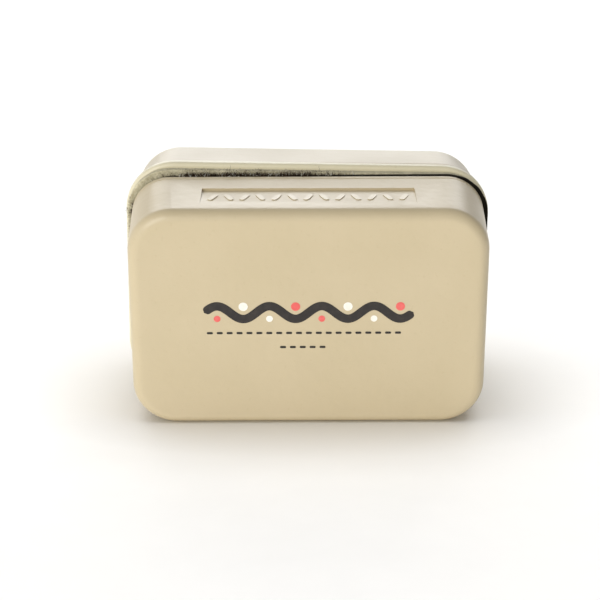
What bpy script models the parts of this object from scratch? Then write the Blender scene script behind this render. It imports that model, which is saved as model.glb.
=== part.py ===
"""Magnetic glass cleaner: a dry handle half and a floating wet half.

The halves hold each other by magnets through an aquarium's glass pane. They are
modelled clamped together without a pane, pad to pad, standing on a long side.
Metres, +Z up, X along the length, Y from the handle's face towards the float.
The origin is on the ground under the middle of the pair.
"""

import math

import bmesh
import bpy
from mathutils import Matrix

MM = 0.001

# Driving dimensions of the two halves
FACE_LENGTH = 90.0 * MM
FACE_HEIGHT = 58.0 * MM
HANDLE_DEPTH = 25.2 * MM
FLOAT_DEPTH = 24.2 * MM
DRAFT = math.radians(2.2)
CORNER_RADIUS = 11.0 * MM
FACE_FILLET = 2.8 * MM
REAR_FILLET = 5.0 * MM

# Walls and plates. The flange is the float's front plate: it stands proud of the
# handle's back outline, and its step is how far the float's shell sits inside it.
HANDLE_WALL = 2.0 * MM
FLOAT_WALL = 1.8 * MM
HANDLE_PLATE = 1.7 * MM
FLANGE_PLATE = 3.2 * MM
FLANGE_PROUD = 1.9 * MM
FLANGE_CORNER = 13.8 * MM
FLANGE_STEP = 1.2 * MM
FLANGE_ROUNDING = 1.0 * MM
LIP_HEIGHT = 3.5 * MM
LIP_THICKNESS = 1.4 * MM
SEAM_BEAD = 0.5 * MM
SEAM_INSET = 0.2 * MM

# Clearance between pieces that touch or are glued to each other
GAP = 0.3 * MM

# Pads between the halves. They stand proud of the handle's back by (ends, long sides).
FILM = 0.2 * MM
FILM_INSET = 1.0 * MM
FELT = 0.7 * MM
SCRUBBER = 1.0 * MM
FELT_PROUD = (0.7 * MM, 0.15 * MM)
SCRUBBER_PROUD = (1.2 * MM, 0.6 * MM)

# Magnets, two rows of two in each half, under a steel plate that closes their field.
# The side space is between the magnets and the half's inner walls.
HANDLE_MAGNET_DEPTH = 10.0 * MM
FLOAT_MAGNET_DEPTH = 6.0 * MM
HANDLE_SIDE_SPACE = 8.0 * MM
FLOAT_SIDE_SPACE = 13.0 * MM
MAGNET_CHAMFER = 0.6 * MM
MAGNETS_PER_ROW = 2
RIB = 1.2 * MM
HANDLE_RIB_HEIGHT = 5.0 * MM
FLOAT_RIB_HEIGHT = 3.5 * MM
HANDLE_YOKE = 1.5 * MM
FLOAT_YOKE = 1.0 * MM
YOKE_CORNER = 2.5 * MM
FOAM_INSET = 3.0 * MM
FOAM_CORNER = 2.0 * MM

# Shallow panel in the handle's upper wall, with a row of low bars that lean by turns
PANEL_LENGTH = 54.0 * MM
PANEL_NEAR = 5.4 * MM
PANEL_FAR = 16.5 * MM
PANEL_SINK = 0.6 * MM
BAR_WIDTH = 1.5 * MM
BAR_RUN = 4.6 * MM
BAR_MIDDLE = 5.3 * MM
BAR_RISE = 0.2 * MM
BAR_PITCH = 4.0 * MM
BAR_LEAN = math.radians(20)
BAR_END_MARGIN = 1.5 * MM

# Smoothness of the rounded edges
CORNER_STEPS = 10
FILLET_STEPS = 5
SMOOTH_ANGLE = math.radians(35)

# How far one solid reaches into another where a Boolean joins or cuts them
OVERSHOOT = 1.0 * MM
TINY = 1e-6

# Values that follow from the sizes above
SLOPE = math.tan(DRAFT)
PAD_STACK = 2 * FILM + FELT + SCRUBBER + 5 * GAP
TOTAL_DEPTH = HANDLE_DEPTH + PAD_STACK + FLOAT_DEPTH
BACK_LENGTH = FACE_LENGTH + 2 * HANDLE_DEPTH * SLOPE
BACK_HEIGHT = FACE_HEIGHT + 2 * HANDLE_DEPTH * SLOPE
FLANGE_LENGTH = BACK_LENGTH + 2 * FLANGE_PROUD
FLANGE_HEIGHT = BACK_HEIGHT + 2 * FLANGE_PROUD
FLOAT_LENGTH = FLANGE_LENGTH - 2 * FLANGE_STEP
FLOAT_HEIGHT = FLANGE_HEIGHT - 2 * FLANGE_STEP
FLOAT_CORNER = FLANGE_CORNER - FLANGE_STEP
HANDLE_INSIDE = (BACK_LENGTH - 2 * HANDLE_WALL, BACK_HEIGHT - 2 * HANDLE_WALL)
FLOAT_INSIDE = (FLOAT_LENGTH - 2 * FLOAT_WALL, FLOAT_HEIGHT - 2 * FLOAT_WALL)
HANDLE_FRONT = -TOTAL_DEPTH / 2
FLOAT_FRONT = HANDLE_FRONT + HANDLE_DEPTH + PAD_STACK
AXIS_HEIGHT = FLANGE_HEIGHT / 2

parts = None
cutters = None


# ---------------------------------------------------------------- scene helpers

def clear_scene():
    for item in list(bpy.data.objects):
        bpy.data.objects.remove(item, do_unlink=True)


def new_collection(name):
    group = bpy.data.collections.new(name)
    bpy.context.scene.collection.children.link(group)
    return group


def linear(*levels):
    """Turn 0-255 screen levels into the linear values a shader takes."""
    shares = [level / 255 for level in levels]
    return [s / 12.92 if s <= 0.04045 else ((s + 0.055) / 1.055) ** 2.4 for s in shares]


def new_material(name, levels, roughness, metallic=0.0):
    material = bpy.data.materials.new(name)
    material.use_nodes = True
    shader = material.node_tree.nodes["Principled BSDF"]
    shader.inputs["Base Color"].default_value = (*linear(*levels), 1.0)
    shader.inputs["Roughness"].default_value = roughness
    shader.inputs["Metallic"].default_value = metallic
    material.diffuse_color = (*linear(*levels), 1.0)
    return material


def new_axis(name, depth_position):
    """An empty on the pair's common axis, where one half's front is."""
    axis = bpy.data.objects.new(name, None)
    axis.location = (0.0, depth_position, AXIS_HEIGHT)
    axis.empty_display_size = 10 * MM
    parts.objects.link(axis)
    return axis


def add_part(item, axis, depth_position, material, across=0.0, up=0.0):
    item.parent = axis
    item.location = (across, depth_position, up)
    item.data.materials.append(material)
    parts.objects.link(item)
    return item


def add_cutter(item, axis, depth_position, across=0.0, up=0.0):
    item.parent = axis
    item.location = (across, depth_position, up)
    item.hide_render = True
    item.display_type = "WIRE"
    cutters.objects.link(item)
    return item


def boolean(item, operation, tool):
    step = item.modifiers.new(f"{operation.lower()}_{tool.name}", "BOOLEAN")
    step.operation = operation
    step.object = tool


def smooth(item):
    item.data.shade_smooth()
    item.data.set_sharp_from_angle(angle=SMOOTH_ANGLE)


# ---------------------------------------------------------------- basic shapes

def round_rim(work, at_depth, fillet):
    """Round the outline's edges that lie at one depth."""
    rim = [
        edge for edge in work.edges
        if all(abs(vertex.co.y - at_depth) < TINY for vertex in edge.verts)
    ]
    bmesh.ops.bevel(
        work, geom=rim, offset=fillet, segments=FILLET_STEPS, profile=0.5, affect="EDGES",
    )


def rounded_block(name, length, depth, height, corner, spread=0.0, near=0.0, far=0.0, remove=()):
    """A block with rounded corners, from its own y = 0 to y = depth.

    spread is how much each side moves outwards over the depth, near and far are
    the fillets round its two ends, and remove lists the ends to leave open.
    """
    work = bmesh.new()
    bmesh.ops.create_cube(work, size=1.0)
    for vertex in work.verts:
        is_far = vertex.co.y > 0
        side = spread if is_far else 0.0
        vertex.co.x = math.copysign(length / 2 + side, vertex.co.x)
        vertex.co.y = depth if is_far else 0.0
        vertex.co.z = math.copysign(height / 2 + side, vertex.co.z)
    if corner:
        along = [
            edge for edge in work.edges
            if abs(edge.verts[0].co.y - edge.verts[1].co.y) > depth / 2
        ]
        bmesh.ops.bevel(
            work, geom=along, offset=corner, segments=CORNER_STEPS, profile=0.5, affect="EDGES",
        )
    if near:
        round_rim(work, 0.0, near)
    if far:
        round_rim(work, depth, far)
    ends = {"near": 0.0, "far": depth}
    for end in remove:
        caps = [
            face for face in work.faces
            if all(abs(vertex.co.y - ends[end]) < TINY for vertex in face.verts)
        ]
        bmesh.ops.delete(work, geom=caps, context="FACES")
    mesh = bpy.data.meshes.new(name)
    work.to_mesh(mesh)
    work.free()
    item = bpy.data.objects.new(name, mesh)
    smooth(item)
    return item


def add_wall(item, thickness):
    """Give an open surface a wall that grows inwards."""
    wall = item.modifiers.new("wall", "SOLIDIFY")
    wall.thickness = thickness
    wall.offset = -1.0
    wall.use_even_offset = True


def magnet_size(inside, side_space, depth):
    """One magnet's (length, depth, height), from the space inside the half's walls."""
    between = (MAGNETS_PER_ROW - 1) * (2 * GAP + RIB)
    length, height = [(size - 2 * side_space - between) / MAGNETS_PER_ROW for size in inside]
    return length, depth, height


def magnet_places(magnet):
    """Middle of each magnet in the grid, as (across, up)."""
    length, _, height = magnet
    pitch_across = length + 2 * GAP + RIB
    pitch_up = height + 2 * GAP + RIB
    middle = (MAGNETS_PER_ROW - 1) / 2
    return [
        ((column - middle) * pitch_across, (row - middle) * pitch_up)
        for row in range(MAGNETS_PER_ROW)
        for column in range(MAGNETS_PER_ROW)
    ]


def grid_size(magnet):
    """Length and height of the whole magnet grid, from outer side to outer side."""
    length, _, height = magnet
    between = 2 * GAP + RIB
    return (
        MAGNETS_PER_ROW * length + (MAGNETS_PER_ROW - 1) * between,
        MAGNETS_PER_ROW * height + (MAGNETS_PER_ROW - 1) * between,
    )


# ---------------------------------------------------------------- repeated pieces

def add_magnets(half, axis, magnet, depth_position, material):
    length, depth, height = magnet
    for number, (across, up) in enumerate(magnet_places(magnet), start=1):
        item = rounded_block(f"{half}_magnet_{number}", length, depth, height, 0.0)
        chamfer = item.modifiers.new("chamfer", "BEVEL")
        chamfer.width = MAGNET_CHAMFER
        chamfer.segments = 1
        add_part(item, axis, depth_position, material, across, up)


def add_base_details(base, half, axis, plate_inside, magnet, rib_height, inner_wall, corner, towards):
    """Join the locating lip and the magnet ribs to a base plate, and open the magnet pockets.

    towards is +1 where the inside of the half lies at greater depth, else -1.
    """
    def place(low, high):
        """Depth of a tool that spans low to high above the plate's inner side."""
        return plate_inside + (low if towards > 0 else -high)

    lip_length, lip_height = inner_wall
    lip_run = OVERSHOOT / 2 + LIP_HEIGHT
    lip = rounded_block(
        f"{half}_lip", lip_length - 2 * GAP, lip_run, lip_height - 2 * GAP, corner,
        remove=("near", "far"),
    )
    add_wall(lip, LIP_THICKNESS)
    add_cutter(lip, axis, place(-OVERSHOOT / 2, LIP_HEIGHT))
    boolean(base, "UNION", lip)

    length, height = grid_size(magnet)
    margin = 2 * (GAP + RIB)
    ribs = rounded_block(
        f"{half}_ribs", length + margin, OVERSHOOT / 2 + rib_height, height + margin, RIB,
    )
    add_cutter(ribs, axis, place(-OVERSHOOT / 2, rib_height))
    boolean(base, "UNION", ribs)

    for number, (across, up) in enumerate(magnet_places(magnet), start=1):
        pocket = rounded_block(
            f"{half}_pocket_{number}", magnet[0] + 2 * GAP, rib_height + OVERSHOOT,
            magnet[2] + 2 * GAP, 0.0,
        )
        add_cutter(pocket, axis, place(0.0, rib_height + OVERSHOOT), across, up)
        boolean(base, "DIFFERENCE", pocket)


def add_pad(name, axis, depth_position, depth, proud, material):
    """A slab whose ends and long sides stand proud of the handle's back outline."""
    ends, sides = proud
    pad = rounded_block(
        name, BACK_LENGTH + 2 * ends, depth, BACK_HEIGHT + 2 * sides,
        CORNER_RADIUS + (ends + sides) / 2,
    )
    add_part(pad, axis, depth_position, material)


# ---------------------------------------------------------------- handle half

def cut_panel(shell, axis):
    """Sink the bar panel into the upper wall, deepest at its far end."""
    run = PANEL_FAR - PANEL_NEAR
    near_up = FACE_HEIGHT / 2 + PANEL_NEAR * SLOPE
    fall = run * SLOPE - PANEL_SINK
    tilt = math.atan2(fall, run)
    panel_height = 2 * PANEL_SINK + OVERSHOOT

    panel = rounded_block("panel", PANEL_LENGTH, math.hypot(run, fall), panel_height, 0.0)
    add_cutter(panel, axis, PANEL_NEAR, 0.0, near_up)
    panel.rotation_euler.x = tilt
    for vertex in panel.data.vertices:
        vertex.co.z += panel_height / 2

    reach = PANEL_LENGTH / 2 - BAR_END_MARGIN - BAR_WIDTH / 2
    per_side = int(reach / BAR_PITCH)
    for step in range(-per_side, per_side + 1):
        bar = rounded_block(f"bar_{step + per_side + 1}", BAR_WIDTH, BAR_RUN, 2 * PANEL_SINK, 0.0)
        centred = Matrix.Translation((0.0, -BAR_RUN / 2, BAR_RISE - PANEL_SINK))
        leaning = Matrix.Rotation(BAR_LEAN if step % 2 else -BAR_LEAN, 4, "Z")
        placed = Matrix.Translation((step * BAR_PITCH, BAR_MIDDLE, 0.0))
        bar.data.transform(placed @ leaning @ centred)
        add_cutter(bar, axis, PANEL_NEAR, 0.0, near_up)
        bar.rotation_euler.x = tilt
        boolean(panel, "DIFFERENCE", bar)
    boolean(shell, "DIFFERENCE", panel)


def build_handle(plastic, felt, magnetic, steel, foam, glue):
    axis = new_axis("handle_axis", HANDLE_FRONT)
    plate_front = HANDLE_DEPTH - HANDLE_PLATE
    shell_depth = plate_front - GAP

    shell = rounded_block(
        "handle_shell", FACE_LENGTH, shell_depth, FACE_HEIGHT, CORNER_RADIUS,
        spread=shell_depth * SLOPE, near=FACE_FILLET, remove=("far",),
    )
    add_wall(shell, HANDLE_WALL)
    add_part(shell, axis, 0.0, plastic)
    cut_panel(shell, axis)

    plate_length = FACE_LENGTH + 2 * plate_front * SLOPE
    plate_height = FACE_HEIGHT + 2 * plate_front * SLOPE
    base = rounded_block(
        "handle_base", plate_length, HANDLE_PLATE, plate_height, CORNER_RADIUS,
        spread=HANDLE_PLATE * SLOPE,
    )
    add_part(base, axis, plate_front, plastic)
    lip_depth = plate_front - LIP_HEIGHT
    inner_wall = (
        FACE_LENGTH + 2 * (lip_depth * SLOPE - HANDLE_WALL),
        FACE_HEIGHT + 2 * (lip_depth * SLOPE - HANDLE_WALL),
    )
    magnet = magnet_size(HANDLE_INSIDE, HANDLE_SIDE_SPACE, HANDLE_MAGNET_DEPTH)
    add_base_details(
        base, "handle", axis, plate_front, magnet, HANDLE_RIB_HEIGHT,
        inner_wall, CORNER_RADIUS - HANDLE_WALL, towards=-1,
    )

    magnet_front = plate_front - GAP - HANDLE_MAGNET_DEPTH
    add_magnets("handle", axis, magnet, magnet_front, magnetic)

    length, height = grid_size(magnet)
    yoke_front = magnet_front - GAP - HANDLE_YOKE
    yoke = rounded_block("handle_yoke", length, HANDLE_YOKE, height, YOKE_CORNER)
    add_part(yoke, axis, yoke_front, steel)

    foam_front = HANDLE_WALL + GAP
    foam_run = yoke_front - GAP - foam_front
    block = rounded_block(
        "handle_foam_spacer", length - 2 * FOAM_INSET, foam_run, height - 2 * FOAM_INSET,
        FOAM_CORNER,
    )
    add_part(block, axis, foam_front, foam)

    film_front = HANDLE_DEPTH + GAP
    film_proud = (-FILM_INSET, -FILM_INSET)
    add_pad("handle_pad_adhesive", axis, film_front, FILM, film_proud, glue)
    add_pad("handle_felt_pad", axis, film_front + FILM + GAP, FELT, FELT_PROUD, felt)


# ---------------------------------------------------------------- float half

def build_float(plastic, scrubber, magnetic, steel, foam, glue, sealant):
    axis = new_axis("float_axis", FLOAT_FRONT)

    base = rounded_block(
        "float_base", FLANGE_LENGTH, FLANGE_PLATE, FLANGE_HEIGHT, FLANGE_CORNER,
        near=FLANGE_ROUNDING, far=FLANGE_ROUNDING,
    )
    add_part(base, axis, 0.0, plastic)

    bead_front = FLANGE_PLATE + GAP
    shell_front = bead_front + SEAM_BEAD + GAP
    shell_depth = FLOAT_DEPTH - shell_front
    lip_depth = LIP_HEIGHT - (shell_front - FLANGE_PLATE)
    inner_wall = (
        FLOAT_LENGTH - 2 * (lip_depth * SLOPE + FLOAT_WALL),
        FLOAT_HEIGHT - 2 * (lip_depth * SLOPE + FLOAT_WALL),
    )
    magnet = magnet_size(FLOAT_INSIDE, FLOAT_SIDE_SPACE, FLOAT_MAGNET_DEPTH)
    add_base_details(
        base, "float", axis, FLANGE_PLATE, magnet, FLOAT_RIB_HEIGHT,
        inner_wall, FLOAT_CORNER - FLOAT_WALL, towards=1,
    )

    bead = rounded_block(
        "float_seam_seal", FLOAT_LENGTH - 2 * SEAM_INSET, SEAM_BEAD, FLOAT_HEIGHT - 2 * SEAM_INSET,
        FLOAT_CORNER - SEAM_INSET, remove=("near", "far"),
    )
    add_wall(bead, FLOAT_WALL - 2 * SEAM_INSET)
    add_part(bead, axis, bead_front, sealant)

    shell = rounded_block(
        "float_shell", FLOAT_LENGTH, shell_depth, FLOAT_HEIGHT, FLOAT_CORNER,
        spread=-shell_depth * SLOPE, far=REAR_FILLET, remove=("near",),
    )
    add_wall(shell, FLOAT_WALL)
    add_part(shell, axis, shell_front, plastic)

    magnet_front = FLANGE_PLATE + GAP
    add_magnets("float", axis, magnet, magnet_front, magnetic)

    length, height = grid_size(magnet)
    yoke_front = magnet_front + FLOAT_MAGNET_DEPTH + GAP
    yoke = rounded_block("float_yoke", length, FLOAT_YOKE, height, YOKE_CORNER)
    add_part(yoke, axis, yoke_front, steel)

    foam_front = yoke_front + FLOAT_YOKE + GAP
    foam_run = FLOAT_DEPTH - FLOAT_WALL - GAP - foam_front
    block = rounded_block(
        "float_foam_block", length - 2 * FOAM_INSET, foam_run, height - 2 * FOAM_INSET,
        FOAM_CORNER,
    )
    add_part(block, axis, foam_front, foam)

    film_front = -GAP - FILM
    film_proud = (-FILM_INSET, -FILM_INSET)
    add_pad("float_pad_adhesive", axis, film_front, FILM, film_proud, glue)
    add_pad(
        "float_scrub_pad", axis, film_front - GAP - SCRUBBER, SCRUBBER, SCRUBBER_PROUD, scrubber,
    )


def main():
    global parts, cutters
    clear_scene()
    parts = new_collection("magnetic_glass_cleaner")
    cutters = new_collection("cutters")

    handle_plastic = new_material("handle_plastic", (211, 196, 163), 0.42)
    float_plastic = new_material("float_plastic", (214, 204, 178), 0.42)
    felt = new_material("black_felt", (30, 26, 18), 0.95)
    scrubber = new_material("grey_olive_scrub_pile", (128, 117, 92), 0.85)
    magnetic = new_material("sintered_ferrite", (56, 55, 57), 0.6)
    steel = new_material("zinc_plated_steel", (178, 180, 182), 0.35, 1.0)
    foam = new_material("white_foam", (226, 225, 218), 0.9)
    glue = new_material("clear_film_glue", (214, 206, 180), 0.3)
    sealant = new_material("seam_cement", (176, 154, 118), 0.35)

    build_handle(handle_plastic, felt, magnetic, steel, foam, glue)
    build_float(float_plastic, scrubber, magnetic, steel, foam, glue, sealant)


main()
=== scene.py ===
import math
import random

import bmesh
import bpy
import numpy as np
from mathutils import Matrix, Vector


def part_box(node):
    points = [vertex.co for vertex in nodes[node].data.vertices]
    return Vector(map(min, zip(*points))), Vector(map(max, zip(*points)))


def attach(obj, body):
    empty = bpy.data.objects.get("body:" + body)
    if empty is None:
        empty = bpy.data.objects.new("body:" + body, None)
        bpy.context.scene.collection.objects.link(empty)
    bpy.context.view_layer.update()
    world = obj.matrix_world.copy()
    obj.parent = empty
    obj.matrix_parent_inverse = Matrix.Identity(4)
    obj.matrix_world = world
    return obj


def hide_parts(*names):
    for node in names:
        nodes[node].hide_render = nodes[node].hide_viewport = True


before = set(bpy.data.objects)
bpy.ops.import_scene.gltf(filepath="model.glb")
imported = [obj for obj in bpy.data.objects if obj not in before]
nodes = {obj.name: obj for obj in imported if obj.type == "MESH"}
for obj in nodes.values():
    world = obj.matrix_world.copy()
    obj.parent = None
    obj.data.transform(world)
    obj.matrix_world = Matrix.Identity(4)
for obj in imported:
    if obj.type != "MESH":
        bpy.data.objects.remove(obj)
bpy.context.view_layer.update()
mm = 0.001
print("frame:", len(nodes), "nodes")


def tone(red, green, blue):  # a screen colour, 0 to 255, as a shader reads it
    parts = [value / 255 for value in (red, green, blue)]
    parts = [v / 12.92 if v < 0.0405 else ((v + 0.055) / 1.055) ** 2.4 for v in parts]
    return (*parts, 1.0)


class Wire:  # a node's output that plain arithmetic can use
    def __init__(self, network, socket):
        self.network = network
        self.socket = socket

    def join(self, operation, first, second):
        wires = [item for item in (first, second) if isinstance(item, Wire)]
        plain = all(item.socket.type == "VALUE" for item in wires)
        kind = "ShaderNodeMath" if plain else "ShaderNodeVectorMath"
        return self.network.node(kind, {"operation": operation}, {0: first, 1: second})

    def __add__(self, other):
        return self.join("ADD", self, other)

    def __sub__(self, other):
        return self.join("SUBTRACT", self, other)

    def __rsub__(self, other):
        return self.join("SUBTRACT", other, self)

    def __mul__(self, other):
        return self.join("MULTIPLY", self, other)

    __radd__ = __add__
    __rmul__ = __mul__


class Network:  # the nodes of a material or of the world
    def __init__(self, tree):
        self.tree = tree

    def feed(self, socket, value):
        if isinstance(value, Wire):
            self.tree.links.new(value.socket, socket)
        elif hasattr(socket.default_value, "__len__") and not hasattr(value, "__len__"):
            socket.default_value = [value] * len(socket.default_value)
        else:
            socket.default_value = value

    def node(self, kind, settings=None, sockets=None, output=0):
        made = self.tree.nodes.new(kind)
        for key, value in (settings or {}).items():
            setattr(made, key, value)
        for key, value in (sockets or {}).items():
            self.feed(made.inputs[key], value)
        return Wire(self, made.outputs[output])

    def where(self):
        return self.node("ShaderNodeTexCoord", output="Object")

    def noise(self, scale, detail=2.0, rough=0.5, stretch=None, output="Fac"):
        spot = self.where()
        if stretch:
            spot = spot * stretch
        return self.node(
            "ShaderNodeTexNoise", {},
            {"Vector": spot, "Scale": scale, "Detail": detail, "Roughness": rough}, output,
        )

    def level(self, value, low, high, newLow=0.0, newHigh=1.0):
        return self.node(
            "ShaderNodeMapRange", {"clamp": True},
            {"Value": value, "From Min": low, "From Max": high, "To Min": newLow, "To Max": newHigh},
        )

    def mix(self, share, first, second):
        return self.node("ShaderNodeMix", {"data_type": "RGBA"}, {0: share, 6: first, 7: second}, 2)


class Finish(Network):  # one material round its Principled shader
    def __init__(self, name, **constants):
        self.material = bpy.data.materials.new(name)
        self.material.use_nodes = True
        super().__init__(self.material.node_tree)
        self.shader = self.tree.nodes["Principled BSDF"]
        self.lastBump = None
        self.connect(constants)

    def connect(self, drivers):
        for socketName, value in drivers.items():
            self.feed(self.shader.inputs[socketName.replace("_", " ")], value)

    def bump(self, height, distance, strength=1.0):
        sockets = {"Height": height, "Distance": distance, "Strength": strength}
        if self.lastBump:
            sockets["Normal"] = self.lastBump
        self.lastBump = self.node("ShaderNodeBump", {}, sockets)

    def done(self, **drivers):
        self.connect(drivers)
        if self.lastBump:
            self.feed(self.shader.inputs["Normal"], self.lastBump)
        return self.material


def mouldedPlastic(name, look):  # satin ABS with a faint grain, flow mottling and light handling marks
    made = Finish(name, IOR=1.49)
    cloud = made.noise(look["cloudScale"], 3, 0.55)
    fleck = made.noise(look["fleckScale"], 2, 0.6)
    grain = made.noise(look["grainScale"], 1, 0.5)
    hair = made.noise(look["hairScale"], 2, 0.5, (1.0, 0.6, 26.0))
    colour = made.mix(made.level(cloud, 0.3, 0.7), look["colour"], look["second"])
    colour = made.mix(made.level(fleck, 0.62, 0.78, 0, look["fleckShare"]), colour, look["fleck"])
    edge = made.node("ShaderNodeNewGeometry", output="Pointiness")
    worn = made.level(edge, 0.505, 0.56, 0, look["wear"])
    colour = made.mix(worn, colour, look["worn"])
    rub = made.level(hair, 0.66, 0.8, 0, look["rub"])
    made.bump(made.noise(look["peelScale"], 1, 0.4), look["peelDepth"])
    made.bump(grain, look["grainDepth"])
    made.bump(hair, look["hairDepth"])
    smooth, dull = look["rough"] - look["roughSpread"], look["rough"] + look["roughSpread"]
    rough = made.level(cloud, 0.25, 0.75, smooth, dull) + rub
    return made.done(Base_Color=colour, Roughness=rough - worn * look["polish"])


handlePlasticLook = {
    "colour": tone(196, 181, 149), "second": tone(192, 177, 144), "fleck": tone(174, 157, 122),
    "worn": tone(206, 192, 162), "wear": 0.5, "polish": 0.12, "fleckShare": 0.22,
    "rough": 0.36, "roughSpread": 0.035, "rub": 0.09,
    "cloudScale": 42, "fleckScale": 900, "grainScale": 4200, "hairScale": 60, "peelScale": 420,
    "peelDepth": 0.08 * mm, "grainDepth": 0.01 * mm, "hairDepth": 0.005 * mm,
}
floatPlasticLook = {
    **handlePlasticLook,
    "colour": tone(199, 187, 159), "second": tone(194, 182, 153), "worn": tone(208, 198, 172),
}
# the float plastic again, painted lighter: painted light standing in for the light that falls on the rim
rimPaintedLightLook = {
    **handlePlasticLook,
    "colour": tone(222, 214, 184), "second": tone(217, 208, 177), "worn": tone(228, 221, 195),
}
handlePlastic = mouldedPlastic("handleMouldedPlastic", handlePlasticLook)
floatPlastic = mouldedPlastic("floatMouldedPlastic", floatPlasticLook)
rimPaintedLightPlastic = mouldedPlastic("rimPlasticPaintedLighter", rimPaintedLightLook)


def fibreFinish(name, dark, pale, rough, scale, sheen, gloss=0.35):  # felt, pile and loose fibres
    constants = {"Sheen Weight": sheen, "Sheen Roughness": 0.4, "Specular IOR Level": gloss}
    made = Finish(name, Roughness=rough, **constants)
    patch = made.noise(scale, 3, 0.65)
    strand = made.noise(scale * 9, 1, 0.5)
    colour = made.mix(made.level(patch + strand * 0.5, 0.55, 0.95), dark, pale)
    made.bump(made.noise(scale * 6, 2, 0.6), 0.25 * mm, 0.8)
    return made.done(Base_Color=colour)


feltFinish = fibreFinish("blackFelt", tone(15, 12, 7), tone(34, 29, 20), 0.95, 320, 0.04, 0.1)
feltHair = fibreFinish("blackFeltHair", tone(19, 15, 8), tone(44, 37, 26), 0.85, 500, 0.04, 0.1)
pileFinish = fibreFinish("scrubBacking", tone(160, 151, 122), tone(208, 200, 170), 0.9, 260, 0.2)
pileHair = fibreFinish("scrubPileHair", tone(168, 159, 128), tone(222, 215, 188), 0.75, 700, 0.25)
brownHair = fibreFinish("brownPileHair", tone(24, 17, 8), tone(84, 64, 42), 0.8, 900, 0.05, 0.2)
lintFinish = fibreFinish("paleLint", tone(205, 200, 184), tone(238, 236, 226), 0.8, 600, 0.2)


def inkFinish(name, colour, second):  # pad-printed ink with slightly uneven cover
    made = Finish(name)
    cover = made.noise(700, 3, 0.6)
    made.bump(made.noise(2600, 2, 0.5), 0.01 * mm)
    rough = made.level(cover, 0.3, 0.7, 0.3, 0.44)
    return made.done(Base_Color=made.mix(made.level(cover, 0.45, 0.75), colour, second), Roughness=rough)


inkDark = inkFinish("inkDark", tone(30, 24, 21), tone(46, 39, 34))
inkCoral = inkFinish("inkCoral", tone(222, 92, 88), tone(229, 110, 104))
inkWhite = inkFinish("inkWhite", tone(240, 236, 226), tone(232, 226, 212))


def ferriteFinish():  # sintered block: dark grains, dull, with ground faces
    made = Finish("sinteredFerrite")
    grain = made.noise(2400, 3, 0.7)
    lines = made.noise(300, 1, 0.5, (1.0, 1.0, 14.0))
    chips = made.level(made.noise(420, 2, 0.6), 0.66, 0.74)
    colour = made.mix(made.level(grain, 0.35, 0.7), tone(45, 44, 47), tone(78, 77, 80))
    colour = made.mix(chips * 0.6, colour, tone(104, 102, 102))
    made.bump(lines, 0.02 * mm)
    made.bump(grain, 0.04 * mm)
    return made.done(Base_Color=colour, Roughness=made.level(grain, 0.3, 0.7, 0.48, 0.68))


def zincFinish():  # bright zinc plate over rolled sheet
    made = Finish("zincPlate", Metallic=1.0)
    roll = made.noise(90, 3, 0.6, (1.0, 1.0, 30.0))
    bloom = made.noise(120, 4, 0.6)
    colour = made.mix(made.level(bloom, 0.35, 0.7), tone(188, 191, 196), tone(170, 169, 160))
    made.bump(roll, 0.02 * mm)
    return made.done(Base_Color=colour, Roughness=made.level(roll, 0.3, 0.7, 0.26, 0.42))


def foamFinish():  # closed-cell foam
    made = Finish("closedCellFoam")
    cell = made.node(
        "ShaderNodeTexVoronoi", {"feature": "F1"}, {"Vector": made.where(), "Scale": 1100}, "Distance",
    )
    # painted shade: each cell's hollow is coloured darker and its rim lighter, following the same map as
    # the bump
    shade = made.level(cell, 0.1, 0.7)
    made.bump(shade, 0.2 * mm)
    colour = made.mix(shade, tone(206, 204, 194), tone(240, 239, 232))
    return made.done(Base_Color=colour, Roughness=made.level(cell, 0.0, 0.8, 0.95, 0.8))


def filmFinish():  # double-sided film with small creases
    made = Finish("padFilm")
    crease = made.noise(210, 4, 0.6)
    made.bump(crease, 0.06 * mm)
    colour = made.mix(made.level(crease, 0.4, 0.7), tone(205, 196, 168), tone(186, 176, 146))
    return made.done(Base_Color=colour, Roughness=made.level(crease, 0.3, 0.7, 0.22, 0.4))


def cementFinish():  # solvent cement squeezed out of the seam
    made = Finish("seamCement")
    flow = made.noise(260, 3, 0.6)
    made.bump(flow, 0.08 * mm)
    colour = made.mix(made.level(flow, 0.35, 0.7), tone(186, 160, 116), tone(150, 124, 84))
    return made.done(Base_Color=colour, Roughness=made.level(flow, 0.3, 0.7, 0.18, 0.34))


ferrite = ferriteFinish()
zinc = zincFinish()
foam = foamFinish()
film = filmFinish()
cement = cementFinish()
print("finishes ready")


def outline(length, height, corner, steps, lead=0.5 * mm):
    # rounded rectangle round (0, 0) as (across, up), with a point close before and after each corner
    points = []
    for quarter, (sideX, sideZ) in enumerate(((1, 1), (-1, 1), (-1, -1), (1, -1))):
        midX, midZ = sideX * (length / 2 - corner), sideZ * (height / 2 - corner)
        start = quarter * math.pi / 2
        end = start + math.pi / 2
        arc = []
        for step in range(steps + 1):
            angle = start + math.pi / 2 * step / steps
            arc.append((midX + corner * math.cos(angle), midZ + corner * math.sin(angle)))
        before = (arc[0][0] + lead * math.sin(start), arc[0][1] - lead * math.cos(start))
        after = (arc[-1][0] - lead * math.sin(end), arc[-1][1] + lead * math.cos(end))
        points += [before, *arc, after]
    return points


def bend(radius, fromAngle, toAngle, steps, inset, depth):
    # arc in a wall's section: (inset, depth) points round a centre, angles from the inward direction
    turns = [math.radians(fromAngle + (toAngle - fromAngle) * k / steps) for k in range(steps + 1)]
    return [(inset + radius * math.cos(turn), depth + radius * math.sin(turn)) for turn in turns]


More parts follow.
